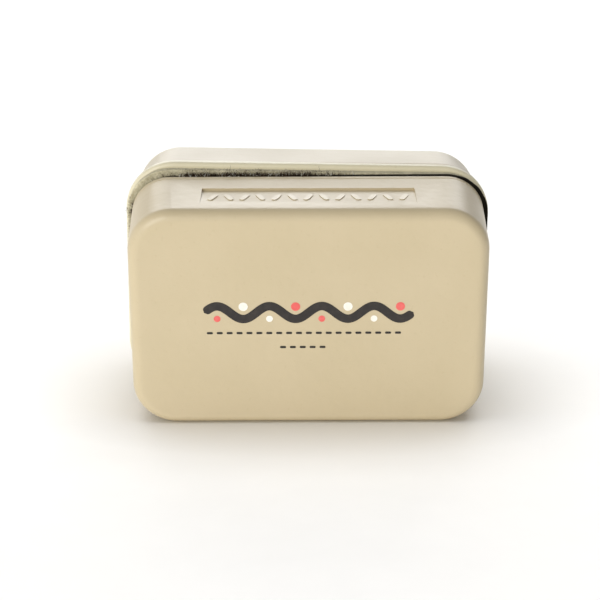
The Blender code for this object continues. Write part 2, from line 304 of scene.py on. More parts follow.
def newObject(name, work, material, smoothAngle=32):
    mesh = bpy.data.meshes.new(name)
    bmesh.ops.recalc_face_normals(work, faces=work.faces)
    work.to_mesh(mesh)
    work.free()
    item = bpy.data.objects.new(name, mesh)
    bpy.context.scene.collection.objects.link(item)
    mesh.materials.append(material)
    mesh.shade_smooth()
    mesh.set_sharp_from_angle(angle=math.radians(smoothAngle))
    return item


def bridge(work, rows, closed=False):
    # faces between rings of vertices; the first and last ring are capped unless the rings run round
    for first, second in zip(rows, rows[1:] + ([rows[0]] if closed else [])):
        for k in range(len(first)):
            after = (k + 1) % len(first)
            work.faces.new((first[k], first[after], second[after], second[k]))
    if not closed:
        work.faces.new(rows[0])
        work.faces.new(rows[-1])


def loft(
    name, size, corner, section, front, material, draft=0.0, tighten=0.0, steps=18, closed=False,
    wobble=None,
):
    # a section of (inset, depth) points carried round a rounded rectangle; tighten narrows its corners
    work = bmesh.new()
    rows = []
    for inset, depth in section:
        grown = inset - depth * math.tan(draft)
        turn = max(corner - inset - tighten * depth, 0.2 * mm)
        points = outline(size[0] - 2 * grown, size[1] - 2 * grown, turn, steps)
        spots = [Vector((across, front + depth, middleZ + up)) for across, up in points]
        if wobble:
            spots = [wobble(spot, inset) for spot in spots]
        rows.append([work.verts.new(spot) for spot in spots])
    bridge(work, rows, closed)
    return newObject(name, work, material)


def applyModifiers(item):  # the item takes the shape that its modifiers give
    graph = bpy.context.evaluated_depsgraph_get()
    done = bpy.data.meshes.new_from_object(item.evaluated_get(graph))
    old = item.data
    item.modifiers.clear()
    item.data = done
    bpy.data.meshes.remove(old)
    done.name = item.name


def carve(item, tools, operation="DIFFERENCE", smoothAngle=32):
    for tool in tools:
        step = item.modifiers.new("carve", "BOOLEAN")
        step.operation = operation
        step.object = tool
    bpy.context.view_layer.update()
    applyModifiers(item)
    for tool in tools:
        bpy.data.objects.remove(tool, do_unlink=True)
    item.data.shade_smooth()
    item.data.set_sharp_from_angle(angle=math.radians(smoothAngle))


def brick(name, low, high):  # a plain box between two corners, used as a cutter or core
    work = bmesh.new()
    bmesh.ops.create_cube(work, size=1.0)
    low, high = Vector(low), Vector(high)
    for vertex in work.verts:
        vertex.co = Vector(
            (low[axis] + (vertex.co[axis] + 0.5) * (high[axis] - low[axis]) for axis in range(3))
        )
    return newObject(name, work, inkDark)


def roundBar(name, reach, half, low, high, steps=6):  # an upright bar with round ends, along y
    work = bmesh.new()
    rows = []
    for up in (low, high):
        row = []
        for way in (1, -1):
            middle = way * (reach - half)
            for step in range(steps + 1):
                angle = math.pi * step / steps
                place = (way * half * math.cos(angle), middle + way * half * math.sin(angle), up)
                row.append(work.verts.new(place))
        rows.append(row)
    bridge(work, rows)
    return newObject(name, work, inkDark)


def dress(item, body, slotName, *replaced):  # what it moves with, its finish slot, which is not used, the nodes it stands for
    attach(item, body)
    if replaced:
        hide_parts(*replaced)


shellLow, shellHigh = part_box("handle_shell")
baseLow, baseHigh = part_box("handle_base")
feltLow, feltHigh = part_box("handle_felt_pad")
scrubLow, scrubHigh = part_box("float_scrub_pad")
rimLow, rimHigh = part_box("float_base")
tailLow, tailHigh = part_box("float_shell")
middleZ = (rimLow.z + rimHigh.z) / 2
faceY = shellLow.y
shape = {  # what several pieces share
    "draft": math.radians(2.2), "corner": 11.2 * mm, "tighten": 0.04, "floatCorner": 11.8 * mm,
    "handleWall": 2.0 * mm, "floatWall": 1.8 * mm, "edgeRound": 0.25 * mm, "gap": 0.3 * mm,
    "partingFill": 0.18 * mm,
}
slope = math.tan(shape["draft"])
shellDepth = shellHigh.y - shellLow.y + shape["partingFill"]  # closes the parting line to a hair


def spread(low, high):  # a box's length and height
    return high.x - low.x, high.z - low.z


# the floating half was set down slightly turned, so its outer pieces are turned round the pair's axis
setDown = {"turn": math.radians(1.1), "across": -0.4 * mm}
hub = Matrix.Translation((0, 0, middleZ))
turned = Matrix.Translation((setDown["across"], 0, 0)) @ hub
turned = turned @ Matrix.Rotation(setDown["turn"], 4, "Y") @ hub.inverted()


def settle(item):  # turns an outer piece of the floating half
    item.data.transform(turned)
    return item


handleShellLook = {"fillet": 2.8 * mm, "lead": 0.5 * mm}  # lead: a line of points close beside each round
panelLook = {
    "length": 54.0 * mm, "near": 5.4 * mm, "far": 16.5 * mm, "sink": 0.6 * mm, "rise": 0.18 * mm,
    "barWidth": 1.4 * mm, "barPitch": 4.0 * mm, "barRun": 4.6 * mm, "barMiddle": 5.3 * mm, "bars": 13,
    "barLean": math.radians(20),
}


def makePanelCut():  # what is taken out of the upper wall: a shallow panel that leaves low leaning bars
    look = panelLook
    half = look["length"] / 2
    high = 3 * look["sink"]
    run = look["far"] - look["near"]
    fall = run * slope - look["sink"]
    panel = brick("panelCut", (-half, 0, 0), (half, math.hypot(run, fall), high))
    reach, wide = look["barRun"] / 2, look["barWidth"] / 2
    bars = []
    for number in range(look["bars"]):
        across = (number - (look["bars"] - 1) / 2) * look["barPitch"]
        bar = roundBar("barCut", reach, wide, -high, look["rise"])
        lean = look["barLean"] * (1 if number % 2 else -1)
        place = Matrix.Translation((across, look["barMiddle"], 0))
        bar.data.transform(place @ Matrix.Rotation(lean, 4, "Z"))
        bars.append(bar)
    carve(panel, bars)
    panel.rotation_euler.x = math.atan2(fall, run)
    return panel


def makeHandleShell():
    wall, edge = shape["handleWall"], shape["edgeRound"]
    fillet, lead = handleShellLook["fillet"], handleShellLook["lead"]
    innerRound = fillet - wall
    back = spread(shellLow, shellHigh)
    size = (back[0] - 2 * shellDepth * slope, back[1] - 2 * shellDepth * slope)
    section = [(fillet + lead, 0.0)]
    section += bend(fillet, 270, 180, 10, fillet, fillet)
    section += [(0.0, fillet + lead), (0.0, shellDepth - edge - lead)]
    section += bend(edge, 180, 90, 3, edge, shellDepth - edge)
    section += bend(edge, 90, 0, 3, wall - edge, shellDepth - edge)
    section += [(wall, shellDepth - edge - lead), (wall, wall + innerRound + lead)]
    section += bend(innerRound, 180, 270, 4, wall + innerRound, wall + innerRound)
    section += [(wall + innerRound + lead, wall)]
    shell = loft(
        "handleShell", size, shape["corner"], section, faceY, handlePlastic, shape["draft"],
        shape["tighten"],
    )
    panel = makePanelCut()
    near = panelLook["near"]
    panel.location = (0, faceY + near, middleZ + size[1] / 2 + near * slope)
    carve(shell, [panel])
    dress(shell, "handle", "handle_plastic", "handle_shell")


makeHandleShell()
print("handle shell")


insideLook = {  # the locating lip and the ribs round the magnets, which start a little inside the plate
    "lip": 1.4 * mm, "lipRise": 3.5 * mm, "rib": 1.2 * mm, "handleRibRise": 5.0 * mm,
    "floatRibRise": 3.5 * mm, "sink": 0.5 * mm,
}
handleBaseLook = {"plate": 1.7 * mm, "lead": 0.3 * mm}
floatBaseLook = {"plate": 3.2 * mm, "corner": 13.0 * mm, "round": 1.0 * mm, "lead": 0.4 * mm}


def makeLip(size, corner, front, depth, thickness):
    section = [(0.0, 0.0), (0.0, depth), (thickness, depth), (thickness, 0.0)]
    return loft("lipCore", size, corner, section, front, inkDark, closed=True)


def addInside(base, half, plateY, towards, wallSize, corner):
    # lip, ribs and pockets on the side of the plate that towards gives, 1 back and -1 front
    sink, lipRise, rise = insideLook["sink"], insideLook["lipRise"], insideLook[f"{half}RibRise"]
    free = shape["gap"]
    pad = free + insideLook["rib"]
    lipFront = plateY - sink if towards > 0 else plateY - lipRise
    cores = [makeLip(wallSize, corner, lipFront, lipRise + sink, insideLook["lip"])]
    if half == "float":
        settle(cores[0])
    boxes = [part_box(f"{half}_magnet_{number}") for number in range(1, 5)]
    lowX, highX = min(low.x for low, _ in boxes) - pad, max(high.x for _, high in boxes) + pad
    lowZ, highZ = min(low.z for low, _ in boxes) - pad, max(high.z for _, high in boxes) + pad
    near = plateY - sink if towards > 0 else plateY - rise
    cores.append(brick("ribCore", (lowX, near, lowZ), (highX, near + rise + sink, highZ)))
    carve(base, cores, "UNION")
    pockets = []
    for low, high in boxes:
        start = plateY if towards > 0 else plateY - 2 * rise
        pockets.append(brick(
            "pocket", (low.x - free, start, low.z - free), (high.x + free, start + 2 * rise, high.z + free),
        ))
    carve(base, pockets)


def makeHandleBase():
    plate, edge, lead = handleBaseLook["plate"], shape["edgeRound"], handleBaseLook["lead"]
    start = baseHigh.y - plate
    outer = spread(baseLow, baseHigh)
    size = (outer[0] - 2 * plate * slope, outer[1] - 2 * plate * slope)
    section = [(edge + lead, 0.0)]
    section += bend(edge, 270, 180, 3, edge, edge)
    section += bend(edge, 180, 90, 3, edge, plate - edge)
    section += [(edge + lead, plate)]
    backCorner = shape["corner"] - shape["tighten"] * (start - faceY)
    base = loft("handleBase", size, backCorner, section, start, handlePlastic, shape["draft"])
    back = spread(shellLow, shellHigh)
    lipFall = (insideLook["lipRise"] - shape["gap"]) * slope  # the draft takes this off along the lip
    shrink = 2 * (lipFall + shape["handleWall"] + shape["gap"])
    wallSize = (back[0] - shrink, back[1] - shrink)
    addInside(base, "handle", start, -1, wallSize, backCorner - shape["handleWall"])
    dress(base, "handle", "handle_plastic", "handle_base")


def makeFloatBase():
    plate, edge, lead = floatBaseLook["plate"], floatBaseLook["round"], floatBaseLook["lead"]
    size = spread(rimLow, rimHigh)
    section = [(edge + lead, 0.0)]
    section += bend(edge, 270, 180, 7, edge, edge)
    section += bend(edge, 180, 90, 7, edge, plate - edge)
    section += [(edge + lead, plate)]
    # the rim takes the plastic painted lighter, as painted light
    base = settle(loft("floatBase", size, floatBaseLook["corner"], section, rimLow.y, rimPaintedLightPlastic))
    back = spread(tailLow, tailHigh)
    shrink = 2 * (insideLook["lipRise"] * slope + shape["floatWall"] + shape["gap"])
    wallSize = (back[0] - shrink, back[1] - shrink)
    addInside(base, "float", rimLow.y + plate, 1, wallSize, shape["floatCorner"] - shape["floatWall"])
    dress(base, "float", "float_plastic", "float_base")


makeHandleBase()
makeFloatBase()
print("bases")


floatShellLook = {"fillet": 5.0 * mm, "lead": 0.5 * mm}


def makeFloatShell():
    wall, edge = shape["floatWall"], shape["edgeRound"]
    fillet, lead = floatShellLook["fillet"], floatShellLook["lead"]
    depth = tailHigh.y - tailLow.y
    innerRound = fillet - wall
    section = [(wall + innerRound + lead, depth - wall)]
    section += bend(innerRound, 90, 180, 5, wall + innerRound, depth - wall - innerRound)
    section += [(wall, depth - fillet - lead), (wall, edge + lead)]
    section += bend(edge, 0, -90, 3, wall - edge, edge)
    section += bend(edge, 270, 180, 3, edge, edge)
    section += [(0.0, edge + lead), (0.0, depth - fillet - lead)]
    section += bend(fillet, 180, 90, 14, fillet, depth - fillet)
    section += [(fillet + lead, depth)]
    shell = loft(
        "floatShell", spread(tailLow, tailHigh), shape["floatCorner"], section, tailLow.y, floatPlastic,
        -shape["draft"],
    )
    dress(settle(shell), "float", "float_plastic", "float_shell")


beadLook = {
    "depth": 1.1 * mm, "width": 1.5 * mm, "proud": 0.85 * mm, "ripple": 0.1 * mm, "thinLeft": 0.25 * mm,
    "thinOver": 60 * mm, "sides": 12, "seed": 11,
}


def makeSeamBead():  # cement squeezed out over the flange's back edge, thinner towards the left
    low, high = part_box("float_seam_seal")
    look = beadLook
    draw = random.Random(look["seed"])
    phases = [draw.uniform(0, math.tau) for _ in range(6)]

    def swell(spot, inset):
        if inset > look["width"] / 2:
            return spot
        way = math.atan2(spot.z - middleZ, spot.x)
        wave = sum(math.sin(way * (7 + 5 * k) + phase) / (k + 2) for k, phase in enumerate(phases))
        thin = look["thinLeft"] * min(max(0.5 - spot.x / look["thinOver"], 0.0), 1.0)
        flat = Vector((spot.x, 0, spot.z - middleZ)).normalized()
        return spot + flat * (look["ripple"] * wave - thin)

    half, reach = look["width"] / 2, look["depth"] / 2
    turns = [math.tau * k / look["sides"] for k in range(look["sides"])]
    section = [(half + half * math.cos(turn), reach + reach * math.sin(turn)) for turn in turns]
    start = (low.y + high.y) / 2 - reach
    size = spread(tailLow, tailHigh)
    grown = (size[0] + 2 * look["proud"], size[1] + 2 * look["proud"])
    bead = loft(
        "floatSeamBead", grown, shape["floatCorner"] + look["proud"], section, start, cement,
        closed=True, wobble=swell,
    )
    dress(settle(bead), "float", "seam_cement", "float_seam_seal")


makeFloatShell()
makeSeamBead()
print("float shell and bead")


padLook = {
    "edgeRound": 0.3 * mm, "lead": 0.3 * mm, "touch": 0.06 * mm, "cornerLess": 0.8 * mm,
    "rough": 0.1 * mm, "roughDeep": 2 * mm,
    "film": 0.5 * mm, "filmInset": 1.0 * mm, "filmEdge": 0.6 * mm,
    "feltShift": 0.6 * mm, "squeeze": 0.3 * mm, "halfGap": 0.1 * mm,
    "worn": 0.45 * mm, "wornRight": 10 * mm, "wornFade": 16 * mm, "wornLow": 14 * mm, "wornRise": 8 * mm,
}


def wornShare(across, up):  # 1 where the felt's edge is rubbed away, high on the left half
    leftward = np.clip((padLook["wornRight"] - across) / padLook["wornFade"], 0, 1)
    return leftward * np.clip((up - padLook["wornLow"]) / padLook["wornRise"], 0, 1)


def raggedEdge(seed, depth, worn):  # moves a pad's edge in and out by a few waves, and in where it is worn
    draw = random.Random(seed)
    waves = [(draw.randint(9, 90), draw.uniform(0, math.tau)) for _ in range(9)]

    def move(spot, inset):
        way = math.atan2(spot.z - middleZ, spot.x)
        wave = sum(math.sin(way * turns + phase) for turns, phase in waves) / 4
        flat = Vector((spot.x, 0, spot.z - middleZ)).normalized()
        rubbed = worn * wornShare(spot.x, spot.z - middleZ)
        return spot + flat * ((depth * wave - rubbed) * max(0.0, 1 - inset / padLook["roughDeep"]))

    return move


def padCorner(size):  # a pad's corner grows with how far it stands out past the handle
    plate = spread(baseLow, baseHigh)
    return shape["corner"] - padLook["cornerLess"] + (size[0] - plate[0] + size[1] - plate[1]) / 4


def padSlab(name, low, high, backY, faceAt, material, seed, worn=0.0):
    # backY is the plate that it is glued to, faceAt its free side; the slab swells out past the film
    depth = abs(faceAt - backY)
    edge, lead, touch = padLook["edgeRound"], padLook["lead"], padLook["touch"]
    film, inner = padLook["film"], padLook["filmInset"]
    near = [(inner + padLook["filmEdge"], film), (inner + lead, film), (inner, touch), (edge + lead, touch)]
    near += bend(edge, 270, 180, 4, edge, edge + touch)
    far = bend(edge, 180, 90, 4, edge, depth - edge)
    far += [(edge + lead, depth)]
    section = near + far
    if faceAt < backY:
        section = [(inset, depth - run) for inset, run in section]
    size = spread(low, high)
    slab = loft(
        name, size, padCorner(size), section, min(backY, faceAt), material, steps=30,
        wobble=raggedEdge(seed, padLook["rough"], worn),
    )
    slab.data.transform(Matrix.Translation(((low.x + high.x) / 2, 0, 0)))
    return slab


feltBack = baseHigh.y
scrubBack = rimLow.y
meeting = (feltHigh.y + scrubLow.y) / 2 - padLook["squeeze"]
feltLow, feltHigh = [corner + Vector((padLook["feltShift"], 0, 0)) for corner in (feltLow, feltHigh)]
feltFace, scrubFace = meeting - padLook["halfGap"], meeting + padLook["halfGap"]
feltPad = padSlab(
    "handleFeltPad", feltLow, feltHigh, feltBack, feltFace, feltFinish, 3, padLook["worn"],
)
dress(feltPad, "handle", "felt", "handle_felt_pad")
scrubPad = padSlab("floatScrubPad", scrubLow, scrubHigh, scrubBack, scrubFace, pileFinish, 5)
settle(scrubPad)
dress(scrubPad, "float", "scrub_pile", "float_scrub_pad")
print("pad slabs")


def growFibres(name, roots, ways, lengths, widths, curl, material, seed, segments=3, sides=3, taper=0.75):
    # thin closed tubes that narrow by taper, each bending away from its way by a random curl
    rng = np.random.default_rng(seed)
    count = len(roots)
    roots, ways = np.asarray(roots, float), np.asarray(ways, float)
    ways /= np.linalg.norm(ways, axis=1, keepdims=True)
    turn = rng.normal(size=(count, 3))
    turn -= (turn * ways).sum(1, keepdims=True) * ways
    turn /= np.linalg.norm(turn, axis=1, keepdims=True)
    across = np.cross(ways, turn)
    points = []
    for step in range(segments + 1):
        share = step / segments
        reach = lengths[:, None] * share
        points.append(roots + ways * reach + turn * (reach * share * curl[:, None]))
    rings = []
    for step, centre in enumerate(points):
        thin = widths[:, None] * (1 - taper * step / segments)
        for side in range(sides):
            angle = math.tau * side / sides
            rings.append(centre + (turn * math.cos(angle) + across * math.sin(angle)) * thin)
    verts = np.stack(rings, 1)  # fibres, points of a fibre, 3
    perFibre = (segments + 1) * sides
    faces = []
    for step in range(segments):
        for side in range(sides):
            after = (side + 1) % sides
            low, high = step * sides, (step + 1) * sides
            faces.append((low + side, low + after, high + after, high + side))
    caps = [tuple(reversed(range(sides))), tuple(range(segments * sides, perFibre))]
    pattern = faces + caps
    allFaces = [
        tuple(index + fibre * perFibre for index in face)
        for fibre in range(count) for face in pattern
    ]
    mesh = bpy.data.meshes.new(name)
    mesh.from_pydata(verts.reshape(-1, 3).tolist(), [], allFaces)
    mesh.materials.append(material)
    mesh.shade_smooth()
    item = bpy.data.objects.new(name, mesh)
    bpy.context.scene.collection.objects.link(item)
    return item


padSides = {  # back is the face that the pad is glued to, away the way to it from where the pads meet
    "felt": {
        "low": feltLow, "high": feltHigh, "back": feltBack, "face": feltFace, "away": -1,
        "body": "handle", "slot": "felt",
    },
    "pile": {
        "low": scrubLow, "high": scrubHigh, "back": scrubBack, "face": scrubFace, "away": 1,
        "body": "float", "slot": "scrub_pile",
    },
}
rootLook = {
    "inset": 0.25 * mm, "backClear": 0.15 * mm, "fuzzClear": 0.2 * mm, "tuftClear": 0.12 * mm,
    "faceMargin": 0.5 * mm, "faceSink": 0.05 * mm,
}


def edgeRoots(rng, count, side, clear):
    # random spots on a pad's edge, with the way out of it; clear keeps them off the other pad
    low, high, inset = side["low"], side["high"], rootLook["inset"]
    backEnd = side["back"] - side["away"] * rootLook["backClear"]
    yLow, yHigh = sorted((backEnd, meeting + side["away"] * clear))
    size = spread(low, high)
    corner = padCorner(size)
    loop = outline(size[0] - 2 * inset, size[1] - 2 * inset, corner - inset, 24)
    loop = np.array(loop + [loop[0]])
    steps = np.linalg.norm(np.diff(loop, axis=0), axis=1)
    along = np.concatenate([[0], np.cumsum(steps)])
    spots = rng.uniform(0, along[-1], count)
    at = np.clip(np.searchsorted(along, spots) - 1, 0, len(steps) - 1)
    share = ((spots - along[at]) / np.maximum(steps[at], 1e-9))[:, None]
    flat = loop[at] * (1 - share) + loop[at + 1] * share
    run = (loop[at + 1] - loop[at]) / np.maximum(steps[at], 1e-9)[:, None]
    out = np.stack([run[:, 1], -run[:, 0]], 1)
    middleX = (low.x + high.x) / 2
    depths = rng.uniform(yLow, yHigh, count)
    roots = np.stack([flat[:, 0] + middleX, depths, flat[:, 1] + middleZ], 1)
    ways = np.stack([out[:, 0], np.zeros(count), out[:, 1]], 1)
    return roots, ways


def addFibres(name, look, roots, ways, lengths, widths, curl):
    side = padSides[look["pad"]]
    fibres = growFibres(name, roots, ways, lengths, widths, curl, look["finish"], look["seed"])
    if look["pad"] == "pile":
        settle(fibres)
    dress(fibres, side["body"], side["slot"])


def edgeFibres(name, look, tufted):
    rng = np.random.default_rng(look["seed"])
    clear = rootLook["tuftClear"] if tufted else rootLook["fuzzClear"]
    roots, ways = edgeRoots(rng, look["count"], padSides[look["pad"]], clear)
    if tufted:
        chosen = tuftSpots(roots, rng)
        roots, ways = roots[chosen], ways[chosen]
    elif look["pad"] == "felt":
        roots -= ways * padLook["worn"] * wornShare(roots[:, 0], roots[:, 2] - middleZ)[:, None]
    count = len(roots)
    ways = ways + rng.normal(scale=look["lean"], size=(count, 3))
    lengths = rng.uniform(*look["long"], count)
    widths = rng.uniform(0.6, 1.2, count) * look["thick"]
    curl = rng.uniform(0.1, 0.9, count)
    addFibres(name, look, roots, ways, lengths, widths, curl)


def faceFibres(name, look):
    # pile on the pad's free face, pressed flat so that it stays on its own side of the meeting plane
    side, margin, count = padSides[look["pad"]], rootLook["faceMargin"], look["count"]
    rng = np.random.default_rng(look["seed"])
    size = spread(side["low"], side["high"])
    corner = shape["corner"]
    across = rng.uniform(-0.5, 0.5, count) * (size[0] - 2 * margin)
    up = rng.uniform(-0.5, 0.5, count) * (size[1] - 2 * margin)
    overX = np.maximum(np.abs(across) - (size[0] / 2 - corner), 0)
    overZ = np.maximum(np.abs(up) - (size[1] / 2 - corner), 0)
    inside = np.hypot(overX, overZ) < corner - margin
    across, up = across[inside], up[inside]
    count = len(across)
    depth = side["face"] + side["away"] * rootLook["faceSink"]
    roots = np.stack([across, np.full(count, depth), up + middleZ], 1)
    flat = rng.normal(size=(count, 3))
    flat[:, 1] = 0
    flat /= np.linalg.norm(flat, axis=1, keepdims=True)
    ways = flat - np.array([0, side["away"] * look["lean"], 0])
    lengths = rng.uniform(*look["long"], count)
    widths = rng.uniform(0.7, 1.3, count) * look["thick"]
    curl = rng.uniform(-0.05, 0.05, count)
    addFibres(name, look, roots, ways, lengths, widths, curl)


tuftLook = {  # where the bristles stand; the clumps are in mm from the middle
    "middle": -15 * mm, "half": 20 * mm, "topFrom": 25 * mm,
    "clumps": (-31, -26.5, -21, -19.5, -13, -6, -1, 5), "clumpHalf": 1.3, "between": 0.4,
    "frontDeep": 1.2 * mm, "frontFade": 0.9 * mm, "backShare": 0.04,
    "endFrom": -44 * mm, "endLow": 8 * mm, "endHigh": 23 * mm, "endShare": 0.3,
}


def tuftSpots(roots, rng):  # worn, bristly stretches: left of the middle on top, and high on the left end
    look = tuftLook
    draw = rng.uniform(size=len(roots))
    across, up = roots[:, 0], roots[:, 2] - middleZ
    band = np.exp(-((across - look["middle"]) / look["half"]) ** 4)
    clump = sum(np.exp(-((across / mm - place) / look["clumpHalf"]) ** 2) for place in look["clumps"])
    crowd = look["between"] + (1 - look["between"]) * np.clip(clump, 0, 1)
    front = (meeting + look["frontDeep"] - roots[:, 1]) / look["frontFade"]
    onTop = (up > look["topFrom"]) & (draw < band * np.clip(front, look["backShare"], 1) * crowd)
    onEnd = (across < look["endFrom"]) & (up > look["endLow"]) & (up < look["endHigh"])
    return np.flatnonzero(onTop | (onEnd & (draw < look["endShare"])))


edgeLayers = {
    "feltEdgeFuzz": {
        "pad": "felt", "count": 4600, "long": (0.1 * mm, 0.34 * mm), "thick": 0.02 * mm, "lean": 0.55,
        "finish": feltHair, "seed": 21,
    },
    "pileEdgeFuzz": {
        "pad": "pile", "count": 4800, "long": (0.12 * mm, 0.5 * mm), "thick": 0.028 * mm, "lean": 0.6,
        "finish": pileHair, "seed": 22,
    },
}
tuftLayers = {
    "feltBristles": {
        "pad": "felt", "count": 11000, "long": (0.5 * mm, 1.5 * mm), "thick": 0.07 * mm, "lean": 0.5,
        "finish": brownHair, "seed": 33,
    },
    "feltLint": {
        "pad": "felt", "count": 1700, "long": (0.3 * mm, 1.1 * mm), "thick": 0.12 * mm, "lean": 0.8,
        "finish": lintFinish, "seed": 34,
    },
    "pileBristles": {
        "pad": "pile", "count": 14000, "long": (0.25 * mm, 0.7 * mm), "thick": 0.07 * mm, "lean": 0.6,
        "finish": brownHair, "seed": 23,
    },
    "longBristles": {
        "pad": "pile", "count": 600, "long": (0.8 * mm, 1.6 * mm), "thick": 0.07 * mm, "lean": 0.75,
        "finish": brownHair, "seed": 27,
    },
    "paleLint": {
        "pad": "pile", "count": 1300, "long": (0.25 * mm, 0.6 * mm), "thick": 0.12 * mm, "lean": 0.9,
        "finish": lintFinish, "seed": 24,
    },
}
faceLayers = {
    "feltFaceFuzz": {
        "pad": "felt", "count": 4800, "long": (0.5 * mm, 1.3 * mm), "thick": 0.022 * mm, "lean": 0.05,
        "finish": feltHair, "seed": 25,
    },
    "pileFaceHairs": {
        "pad": "pile", "count": 4800, "long": (0.4 * mm, 1.0 * mm), "thick": 0.035 * mm, "lean": 0.08,
        "finish": pileHair, "seed": 26,
    },
}
for name, look in edgeLayers.items():
    edgeFibres(name, look, tufted=False)
for name, look in tuftLayers.items():
    edgeFibres(name, look, tufted=True)
for name, look in faceLayers.items():
    faceFibres(name, look)
print("pad fibres")


printLook = {  # plain waves and bubbles, then two rows of dashes
    "lift": 0.02 * mm, "thick": 0.03 * mm,
    "waves": 4, "waveLength": 52.6 * mm, "waveRise": 1.75 * mm, "waveStroke": 2.3 * mm, "waveUp": 2.3 * mm,
    "waveSteps": 160, "bubble": 1.15 * mm, "bubbleUp": 1.6 * mm, "small": 0.85 * mm, "smallUp": -1.7 * mm,
    "dashLong": 1.55 * mm, "dashThick": 0.62 * mm, "dashPitch": 2.5 * mm,
    "dashes": 20, "dashUp": -3.3 * mm, "dashMiddle": -1.2 * mm,
    "shortDashes": 5, "shortUp": -7.2 * mm, "shortMiddle": -1.5 * mm,
}


def inkShape(work, spine, halfWidth):
    # a closed thin ribbon along spine points (across, up), with half its width at each
    front = faceY - printLook["lift"] - printLook["thick"]
    back = faceY - printLook["lift"]
    rows = []
    for index, (across, up) in enumerate(spine):
        before = spine[max(index - 1, 0)]
        after = spine[min(index + 1, len(spine) - 1)]
        run = Vector((after[0] - before[0], after[1] - before[1])).normalized()
        side = Vector((-run.y, run.x)) * halfWidth[index]
        row = []
        for sign, y in ((1, front), (-1, front), (-1, back), (1, back)):
            row.append(work.verts.new((across + sign * side.x, y, middleZ + up + sign * side.y)))
        rows.append(row)
    bridge(work, rows)


def roundEnds(lengths, half):
    # half width along a stroke with round ends
    total = lengths[-1]
    widths = []
    for run in lengths:
        short = min(run, total - run, half)
        widths.append(max(math.sqrt(max(half ** 2 - (half - short) ** 2, 0)), 0.01 * mm))
    return widths


def stroke(work, spine, half):
    lengths = [0.0]
    for first, second in zip(spine, spine[1:]):
        lengths.append(lengths[-1] + math.dist(first, second))
    inkShape(work, spine, roundEnds(lengths, half))


def dashSpine(middle, up, length, half, ends=5, straight=2):
    left, right = middle - length / 2, middle + length / 2
    stops = [left + half * (1 - math.cos(math.pi / 2 * k / ends)) for k in range(ends + 1)]
    stops += [left + half + (right - left - 2 * half) * k / straight for k in range(1, straight)]
    stops += [right - half * (1 - math.cos(math.pi / 2 * k / ends)) for k in range(ends, -1, -1)]
    return [(stop, up) for stop in stops]


def makePrint():
    look = printLook
    dark, coral, white = bmesh.new(), bmesh.new(), bmesh.new()
    spine = []
    for step in range(look["waveSteps"] + 1):
        share = step / look["waveSteps"]
        rise = look["waveRise"] * math.sin(math.tau * look["waves"] * share)
        spine.append(((share - 0.5) * look["waveLength"], look["waveUp"] + rise))
    stroke(dark, spine, look["waveStroke"] / 2)
    half = look["dashThick"] / 2
    for count, up, middle in (
        (look["dashes"], look["dashUp"], look["dashMiddle"]),
        (look["shortDashes"], look["shortUp"], look["shortMiddle"]),
    ):
        for number in range(count):
            place = middle + (number - (count - 1) / 2) * look["dashPitch"]
            stroke(dark, dashSpine(place, up, look["dashLong"], half), half)
    period = look["waveLength"] / look["waves"]
    for number in range(look["waves"]):
        first, second = (coral, white) if number % 2 else (white, coral)
        for ink, part, up, radius in (
            (first, 0.75, look["bubbleUp"], look["bubble"]),  # over a wave's trough
            (second, 0.25, look["smallUp"], look["small"]),  # under its crest
        ):
            place = -look["waveLength"] / 2 + period * (number + part)
            stroke(ink, dashSpine(place, look["waveUp"] + up, 2 * radius, radius, 8, 1), radius)
    for name, work, ink in (
        ("printDark", dark, inkDark), ("printCoral", coral, inkCoral), ("printWhite", white, inkWhite),
    ):
        dress(newObject(name, work, ink, 40), "handle", "handle_plastic")


makePrint()
print("printed decoration")


innerLook = {
    "magnetEdge": 0.12 * mm, "yokeEdge": 0.1 * mm, "foamEdge": 0.4 * mm, "weld": 0.01 * mm,
    "sharp": math.radians(40),
}


def finishNode(node, material, edge=0.0):  # an inner piece keeps its CAD shape, with its edges eased
    item = nodes[node]
    item.data.materials.clear()
    item.data.materials.append(material)
    if edge:
        weld = item.modifiers.new("weld", "WELD")
        weld.merge_threshold = innerLook["weld"]
        soft = item.modifiers.new("edge", "BEVEL")
        soft.width = edge
        soft.segments = 2
        soft.limit_method = "ANGLE"
        soft.angle_limit = innerLook["sharp"]


for half in ("handle", "float"):
    for number in range(1, 5):
        finishNode(f"{half}_magnet_{number}", ferrite, innerLook["magnetEdge"])
    finishNode(f"{half}_yoke", zinc, innerLook["yokeEdge"])
    finishNode(f"{half}_pad_adhesive", film)
for node in ("handle_foam_spacer", "float_foam_block"):
    finishNode(node, foam, innerLook["foamEdge"])
print("inner pieces")


sheetLook = {  # lean is the sheet's rise over its run, in front of touchY
    "lean": 0.1255, "touchY": 3.2 * mm, "levelFrom": -60 * mm, "levelTo": -220 * mm, "levelSteps": 12,
    "reach": 6.0, "backStops": (1.0, 0.2, 0.05, 0.01), "frontStops": (-0.01, -0.03),
    "farStops": (-0.6, -1.5),
    # near is a painted shadow: a darker tone of the sheet round the object's base, fading out between the
    # two reaches below
    "colour": tone(247, 246, 244), "second": tone(249, 248, 246), "near": tone(234, 232, 228),
    "paintedShadowReach": 48 * mm, "paintedShadowFade": 88 * mm, "squash": (1, 1.7, 1),
}
rimHalf = (rimHigh.x - rimLow.x) / 2 - floatBaseLook["corner"]
rimDrop = rimHalf * math.sin(setDown["turn"])  # how far the turned rim's lower end comes down


def floorHeight(y):
    # the sheet passes under the rim, rises in front to the handle's lower edge, and levels out further on
    look = sheetLook
    if y >= look["touchY"]:
        return -rimDrop
    steep = look["lean"] * (look["touchY"] - max(y, look["levelFrom"])) - rimDrop
    if y >= look["levelFrom"]:
        return steep
    span = look["levelFrom"] - look["levelTo"]
    share = min((look["levelFrom"] - y) / span, 1.0)
    return steep + look["lean"] * span * (share - share * share / 2)


